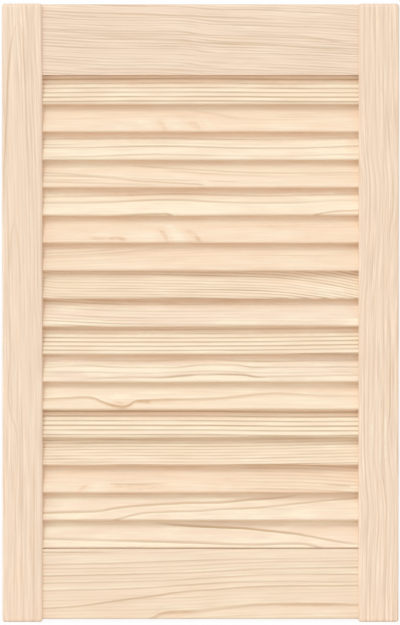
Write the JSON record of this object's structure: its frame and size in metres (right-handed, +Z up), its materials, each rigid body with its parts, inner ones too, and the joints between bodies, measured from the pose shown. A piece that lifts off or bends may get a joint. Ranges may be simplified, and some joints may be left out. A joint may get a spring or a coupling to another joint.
{
  "type": "slatted cabinet door",
  "caption": "Pine louvre door leaf: stiles and rails dowelled at the corners, with fixed slanted slats seated in slots in the stiles.",
  "frame": {"origin": "middle of the door's foot, halfway through the stiles' thickness", "axes": "+Z up along the stiles, the front faces -Y, +X to the right seen from the front"},
  "size_m": [0.394, 0.021, 0.615],
  "materials": {
    "stile_pine": "sanded, unfinished",
    "rail_pine": "sanded, unfinished",
    "slat_pine": "sanded, unfinished",
    "dowel_beech": "fluted"
  },
  "bodies": {
    "root": {"left_stile": "stile_pine", "right_stile": "stile_pine", "top_rail": "rail_pine", "bottom_rail": "rail_pine", "slat_01": "slat_pine", "slat_02": "slat_pine", "slat_03": "slat_pine", "slat_04": "slat_pine", "slat_05": "slat_pine", "slat_06": "slat_pine", "slat_07": "slat_pine", "slat_08": "slat_pine", "slat_09": "slat_pine", "slat_10": "slat_pine", "slat_11": "slat_pine", "slat_12": "slat_pine", "slat_13": "slat_pine", "slat_14": "slat_pine", "slat_15": "slat_pine", "slat_16": "slat_pine", "slat_17": "slat_pine", "top_left_upper_dowel": "dowel_beech", "top_left_lower_dowel": "dowel_beech", "top_right_upper_dowel": "dowel_beech", "top_right_lower_dowel": "dowel_beech", "bottom_left_upper_dowel": "dowel_beech", "bottom_left_lower_dowel": "dowel_beech", "bottom_right_upper_dowel": "dowel_beech", "bottom_right_lower_dowel": "dowel_beech"}
  },
  "joints": []
}
